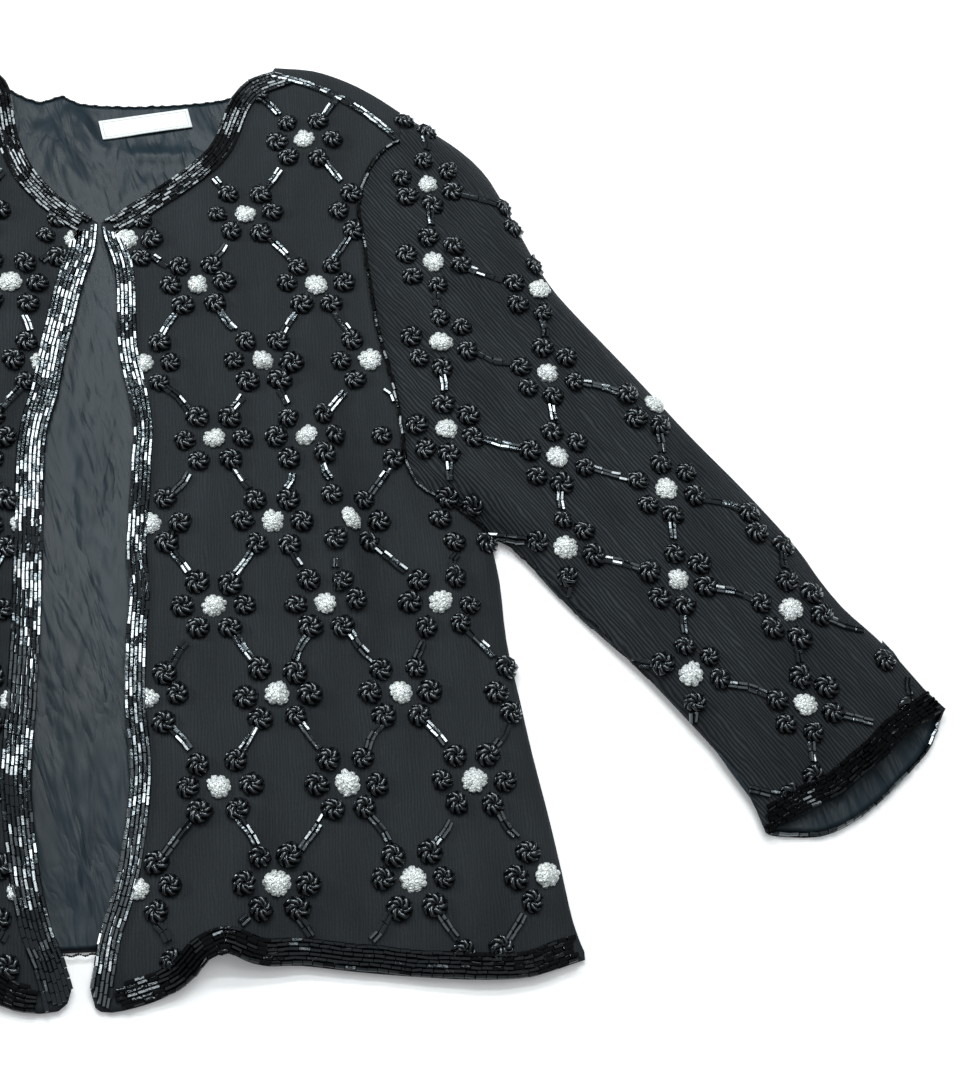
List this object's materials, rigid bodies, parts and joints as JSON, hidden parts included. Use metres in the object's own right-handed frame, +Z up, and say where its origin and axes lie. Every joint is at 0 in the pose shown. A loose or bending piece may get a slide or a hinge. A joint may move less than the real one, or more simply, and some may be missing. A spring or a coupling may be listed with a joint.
{
  "type": "beaded evening jacket",
  "caption": "Long-sleeved, open-front evening jacket of crinkled cloth, laid flat, with beaded flowers, bands of bugle beads on its edges and a satin lining.",
  "frame": {"origin": "on the table under the middle of the back, 335 mm above the lowest point of the front hem", "axes": "+Z up from the table, +Y towards the neck, +X towards the wearer's left sleeve"},
  "size_m": [1.04, 0.6703, 0.0228],
  "materials": {
    "crepe": "crinkled matte black cloth",
    "satin": "soft grey-black satin",
    "ribbon": "off-white woven label",
    "beads": "glossy black glass beads"
  },
  "bodies": {
    "root": {"back": "crepe", "lining_back": "satin", "label": "ribbon", "front_left": "crepe", "front_right": "crepe", "sleeve_left": "crepe", "sleeve_right": "crepe", "neck_band_left": "beads", "neck_band_right": "beads", "front_band_left": "beads", "front_band_right": "beads", "hem_band_left": "beads", "hem_band_right": "beads", "cuff_band_left": "beads", "cuff_band_right": "beads"}
  },
  "joints": []
}
